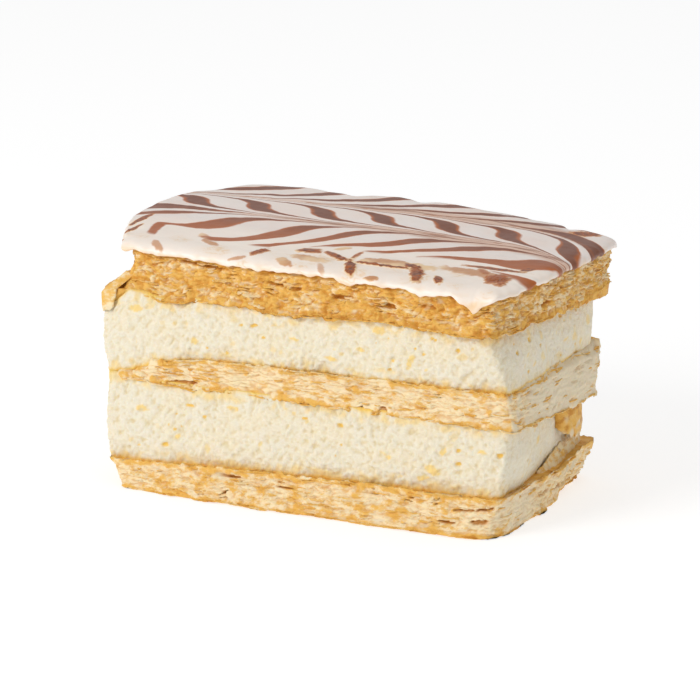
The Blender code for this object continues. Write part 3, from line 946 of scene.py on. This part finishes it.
# Bites in the back edge: x, depth and half width.
BACK_BITES = ((-21, 2.6, 4), (-14.5, 4.6, 3.0), (5, 4.2, 2.0), (22, 1.4, 3), (36, 1.4, 2), (48.5, 5.8, 2.6))

# Drips over the front edge: x, depth and half width.
FRONT_DRIPS = ((47.6, 3.8, 3.2), (33, 0.9, 3.0), (12, 0.8, 2.5), (-22, 0.6, 3.0))

# The lip hangs down to this height at most, but for the drips.
LIP_LOWEST = 61.4
LIP_RADIUS = 0.45
# The width of the shoulder on each side, and how square its curve is.
SHOULDER_FRONT = 7.5
SHOULDER_RIGHT = 5.0
SHOULDER_BACK = 2.2
SHOULDER_POWER = 2.3
# The icing runs this far over the left end, and this far over the back edge at its right.
LEFT_BULGE = 1.7
BACK_BULGE = 2.6
# The columns of the front, right, back and left side.
ICING_COUNTS = (260, 145, 260, 145)


def curve(points, x):
    """The height over x of a smooth curve through points."""
    xs, ys = np.array(points, float).T
    dense = np.linspace(xs[0], xs[-1], 400)
    smooth = blurred(np.interp(dense, xs, ys), 12, 0)
    return np.interp(x, dense, smooth)


def feathered(x, y):
    """The lines' unrolled place, in spacings, their half width in millimetres, how far they are mixed
    into the icing, and where they end."""
    undragged = x - 0.8 * noise(at(x / 23, y / 23, 0), 90)
    stroke = np.zeros_like(x)
    shown = np.ones_like(x)
    gap = np.full_like(x, 99.0)
    between = np.ones_like(x)
    for drag_left, drag_right, to_front, to_back, blunt, points in STROKES:
        away = y - curve(points, x) + 0.4 * noise(at(x / 12, y / 12, to_back), 91)
        reach = np.where(away > 0, to_back, to_front)
        drag = drag_left + (drag_right - drag_left) * step(-55, 45, x)
        undragged = undragged - drag * np.exp(-(np.hypot(away, blunt) - blunt) / reach)
        # Sharp strokes mix chocolate into a band of icing, and the blunt front one ends the lines.
        if blunt < 1:
            gap = np.minimum(gap, np.abs(away))
            between = between * np.sign(away)
            # The side that the chocolate comes from is mixed much further out than the other.
            width = np.where(away * drag_left < 0, 3.6, 1.2) * (0.5 + 0.8 * step(-45, 45, x))
            mixed = np.exp(-((away / width) ** 2)) * (0.6 + 0.4 * step(-40, 40, x))
            stroke = np.maximum(stroke, mixed)
        if 1 < blunt < 2:
            last = np.where(x < -42, -8.0, 0.4)
            shown = step(last - 1.0, last + 0.9, away + 1.2 * noise(at(x / 4, y / 4, 0), 93))
    order = np.interp(undragged, LINES, np.arange(len(LINES)))
    fullness = np.where(between < 0, 2.4, 2.6) * (1 + 0.25 * noise(at(np.round(order), y / 14, 0), 92))
    half = 1.0 + fullness * step(0.0, np.where(between < 0, 2.6, 4.0), gap)
    half *= 1 - 0.55 * step(-40, -48, x) * step(0, -9, y)
    return order, half, stroke, shown


def smudged(x, y):
    """How strongly chocolate is smeared at each place."""
    wobble = 0.3 * noise(at(x / 2.2, y / 2.2, 0), 94) + 0.2 * noise(at(x / 0.9, y / 0.9, 0), 95)
    total = np.zeros_like(x)
    for place_x, place_y, *shape, strength in SMUDGES:
        away = oval(x - place_x, y - place_y, *shape)
        total = np.maximum(total, strength * step(1.05, 0.6, away + wobble))
    return total


def icing_outlines(skin):
    """The icing's plan at the lip and at the top of its shoulder, a point for each column."""
    edge = skin.wall[skin.rows // 2, :, :2]
    bite = sum(depth * np.exp(-(((edge[:, 0] - x) / width) ** 2)) for x, depth, width in BACK_BITES)
    bite = bite * step(0.5, 0.9, skin.outward[:, 1])
    bite += 0.5 * noise(at(edge[:, 0] / 3.5, edge[:, 1] / 3.5, 0), 96) - 0.5
    outer = edge - skin.outward * bite[:, None]
    to_front, to_right = -skin.outward[:, 1], skin.outward[:, 0]
    bulge = LEFT_BULGE * step(-33, -14, edge[:, 1]) * step(26, 6, edge[:, 1]) + 1.0
    outer[:, 0] -= bulge * step(0.15, 0.7, -to_right)
    bulge = BACK_BULGE * step(10, 32, edge[:, 0]) * step(62, 48, edge[:, 0])
    outer[:, 1] += bulge * step(0.5, 0.9, -to_front)
    shoulder = SHOULDER_BACK + (SHOULDER_FRONT - SHOULDER_BACK) * step(0.1, 0.8, to_front)
    shoulder += (SHOULDER_RIGHT - SHOULDER_BACK) * step(0.3, 0.9, to_right) * step(0.8, 0.3, to_front)
    shoulder -= 0.9 * step(0.3, 0.9, -to_right)
    return outer, blurred(outer, 6, 0, wrap=True) - skin.outward * shoulder[:, None]


def lip_tip(skin):
    """The height of the lip's tip at each column: it wavers, and drips hang from it at the front."""
    tip = np.maximum(skin.wall[0, :, 2], LIP_LOWEST) + 0.2 + 0.8 * noise(at(skin.along / 7, 0, 0), 97)
    tip += 0.5 * noise(at(skin.along / 2.4, 0, 0), 98)
    for drip_x, depth, width in FRONT_DRIPS:
        sharp = np.exp(-np.abs((skin.wall[skin.rows // 2, :, 0] - drip_x) / width) ** 1.3)
        tip -= depth * sharp * step(0.5, 0.9, -skin.outward[:, 1])
    return tip


def icing_patch(tree, inner):
    """A grid of points over the top, within the outline of the shoulder's top."""
    long, wide = ICING_COUNTS[:2]
    front, back = inner[: long + 1], inner[long + wide : 2 * long + wide + 1][::-1]
    right = inner[long : long + wide + 1]
    left = np.concatenate([inner[:1], inner[2 * long + wide :][::-1]])
    u, v = np.meshgrid(np.linspace(0, 1, long + 1), np.linspace(0, 1, wide + 1), indexing="ij")
    u, v = u[..., None], v[..., None]
    flat = front[:, None] * (1 - v) + back[:, None] * v + left[None] * (1 - u) + right[None] * u
    flat -= (front[0] * (1 - u) + front[-1] * u) * (1 - v) + (back[0] * (1 - u) + back[-1] * u) * v
    heights = np.empty(flat.shape[:2])
    for index in np.ndindex(heights.shape):
        # Where the sheet bulges past the solid, the height is that of a place nearer the middle.
        for pull in (1.0, 0.97, 0.94, 0.9):
            above = Vector((*(flat[index] * pull), BOX_HIGH[2] + 5))
            hit, *_ = tree.ray_cast(above, Vector((0, 0, -1)))
            if hit is not None:
                break
        heights[index] = hit.z
    return np.concatenate([flat, blurred(blurred(heights, 5, 0), 5, 1)[..., None]], -1)


def icing_brim(skin, outer, inner, top, tip):
    """Rows of points down the shoulder, round the lip's tip and back in under the sheet."""
    rows = []

    def row(reach, height, inset=0.0):
        plan = inner + (outer - inner) * reach - skin.outward * inset
        rows.append(np.concatenate([plan, np.broadcast_to(height, top.shape)[:, None]], -1))

    foot = tip + LIP_RADIUS
    for turn in np.linspace(0, math.pi / 2, 26)[1:]:
        reach, rise = math.sin(turn) ** (2 / SHOULDER_POWER), math.cos(turn) ** (2 / SHOULDER_POWER)
        row(reach, foot + (top - foot) * rise)
    for turn in np.linspace(0, math.pi, 8)[1:]:
        row(1.0, foot - LIP_RADIUS * math.sin(turn), LIP_RADIUS * (1 - math.cos(turn)))
    row(1.0, tip + 1.2, 2 * LIP_RADIUS + 0.6)
    for inset in (3.0, 6.0, 10.0):
        row(1.0, top - 3.2, inset)
    return np.stack(rows)


def make_icing():
    """A sheet of icing whose shoulder curves down into a thin lip with drips."""
    skin = Skin("icing", 0.3, 0.44, smooth=1.6, counts=ICING_COUNTS)
    outer, inner = icing_outlines(skin)
    patch = icing_patch(skin.tree, inner)
    number = np.arange(patch[..., 0].size).reshape(patch.shape[:2])
    border = border_of(number)
    top = patch[..., 2].ravel()[border]
    brim = icing_brim(skin, outer, inner, top, lip_tip(skin))

    # The patch's border is the brim's first row, so the brim adds only what lies outside it.
    points = np.concatenate([patch.reshape(-1, 3), brim.reshape(-1, 3)])
    outside = number.size + np.arange(brim[..., 0].size).reshape(brim.shape[:2])
    rings = np.concatenate([border[None], outside])
    faces = [*quads_of(number).tolist(), *quads_of(closed_round(rings)).tolist(), outside[-1].tolist()]

    x, y, _ = points.T
    down = np.concatenate([np.zeros(number.size), (top[None] - brim[..., 2]).ravel()])
    over_y = y - 0.9 * np.clip(down - 0.6, 0, 7) * step(-18, -24, y)
    order, half, stroke, shown = feathered(x, over_y)
    smudge = smudged(x, over_y)
    near_rim = step(0.4, 3.5, down)
    patchy = step(-0.15, 0.5, noise(points / (5.0, 5.0, 2.5), 101) + 0.3 * noise(points / 1.6, 103))
    thin = np.clip(near_rim * patchy + 0.7 * step(2.2, 4.5, down), 0, 1)
    lift = 0.18 * fractal(points / 9.0, 2, 97) + 0.05 * noise(points / 2.0, 98)
    lift += near_rim * (0.3 * noise(points / 3.2, 99) + 0.12 * noise(points / 1.1, 100))
    lift += 0.35 * smudge * step(-14, -20, over_y) * (0.8 + noise(points / 0.9, 102))
    points[:, 2] += lift
    wrinkled = step(-17, -22, over_y) * step(-0.1, 0.35, noise(points / 8.0, 104))
    wrinkles = step(0.13, 0.0, np.abs(noise(points / (3.2, 2.0, 2.0), 105) + 0.3 * noise(points / 1.2, 106)))
    thin = np.maximum(thin, wrinkled * (0.2 + 0.75 * wrinkles))
    fields = {"line_order": order, "line_half": half, "stroke": stroke, "line_shown": shown,
              "smudge": smudge, "thin": 0.85 * thin, "far": step(-16, 12, y)}
    finished("feathered_icing_sheet", points, faces, fields, "icing", "icing")


# ---- stage


def make_camera():
    """A camera in front of the slice, to the right and above."""
    back = Vector((
        math.sin(CAMERA_AZIMUTH) * math.cos(CAMERA_ELEVATION),
        -math.cos(CAMERA_AZIMUTH) * math.cos(CAMERA_ELEVATION),
        math.sin(CAMERA_ELEVATION),
    ))
    camera = placed("camera", bpy.data.cameras.new("camera"))
    camera.data.lens = CAMERA_LENS
    camera.location = (CAMERA_TARGET + back * CAMERA_DISTANCE) * MM
    camera.rotation_euler = (-back).to_track_quat("-Z", "Y").to_euler()
    bpy.context.scene.camera = camera


def add_softbox(name, place, size, power):
    """A square lamp that faces the slice's middle."""
    lamp = bpy.data.lights.new(name, "AREA")
    lamp.shape, lamp.size, lamp.energy = "SQUARE", size * MM, power
    holder = placed(name, lamp)
    holder.location = Vector(place) * MM
    towards = SLICE_MIDDLE - Vector(place)
    holder.rotation_euler = towards.to_track_quat("-Z", "Y").to_euler()


def make_stage():
    """A pale floor, a white room and soft lamps at the front left and above."""
    bpy.ops.mesh.primitive_plane_add(size=8.0, location=(0, 0, -FLOOR_GAP * MM))
    floor = bpy.context.object
    floor.name = "floor"
    m = Nodes("pale_floor")
    floor.data.materials.append(m.finish(FLOOR_GREY, Roughness=0.9, Specular_IOR_Level=0.0,
                                         Emission_Color=WHITE, Emission_Strength=FLOOR_GLOW))
    world = bpy.data.worlds.new("white_room")
    world.use_nodes = True
    background = world.node_tree.nodes["Background"]
    background.inputs["Color"].default_value = WHITE
    background.inputs["Strength"].default_value = ROOM_LIGHT
    bpy.context.scene.world = world
    for name, (place, size, power) in LAMPS.items():
        add_softbox(name, place, size, power)
    bpy.context.scene.view_settings.view_transform = "Standard"


# ---- the slice

# The sheets of pastry: a seed, how toasted and how rough they are, how many loose leaves stand out
# of their sides and how far, and how toasted the leaves at their edges are.
SHEETS = {
    "bottom_pastry": (41, 0.20, 0.9, 150, (0.25, 0.7), 0.5),
    "middle_pastry": (53, 0.12, 0.85, 150, (0.25, 0.7), 0.3),
    "top_pastry": (67, 0.45, 1.2, 260, (0.4, 1.3), 0.5),
}

make_camera()
make_stage()
flakes = Pile("toast", "cavity", "smear", "crevice_shade")
lower, upper = make_cream("lower_cream", 11), make_cream("upper_cream", 23)
# A golden flap and a paler crust lean against the lower cream, and a flap hangs at the front left.
for skin, ends, tops, feet, stand, seed, toasted, pale in (
    (lower, ((RIGHT, 2), (RIGHT, 21)), (26.5, 26.5), (17, 14.5), (3.6, 3.2, 3.6), 201, 0.7, 0.2),
    (lower, ((RIGHT, -6), (RIGHT, 31)), (10.5, 19.0), (6.0, 8.0), (0.4, 3.0, 4.2), 211, 0.25, 0.2),
    (upper, ((LEFT, 2), (FRONT, -55.5)), (55.5, 55.5), (45.5, 44.5), (-6.0, 0.8, 0.4), 205, 0.3, 0.0),
):
    add_curtain(flakes, skin, ends, tops, feet, stand, seed, toasted, pale)
make_icing()
for node, (seed, toasted, wildness, loose, reach, baked) in SHEETS.items():
    sides = make_pastry(node, seed, toasted, wildness)
    add_flakes(flakes, *sides, loose, (0.1, 0.9), reach, (1.5, 6.0), seed + 1, 0.3, (-0.7, 0.1))
    if node != "top_pastry":
        add_flakes(flakes, *sides, 70, (0.93, 1.0), (0.3, 1.0), (3.0, 10.0), seed + 2, baked, (-0.5, 0.2))
    add_flakes(flakes, *sides, 90, (0.0, 0.07), (0.3, 1.0), (2.0, 9.0), seed + 3, baked, (-0.6, 0.1))
flakes.piece("torn_leaves", "pastry")
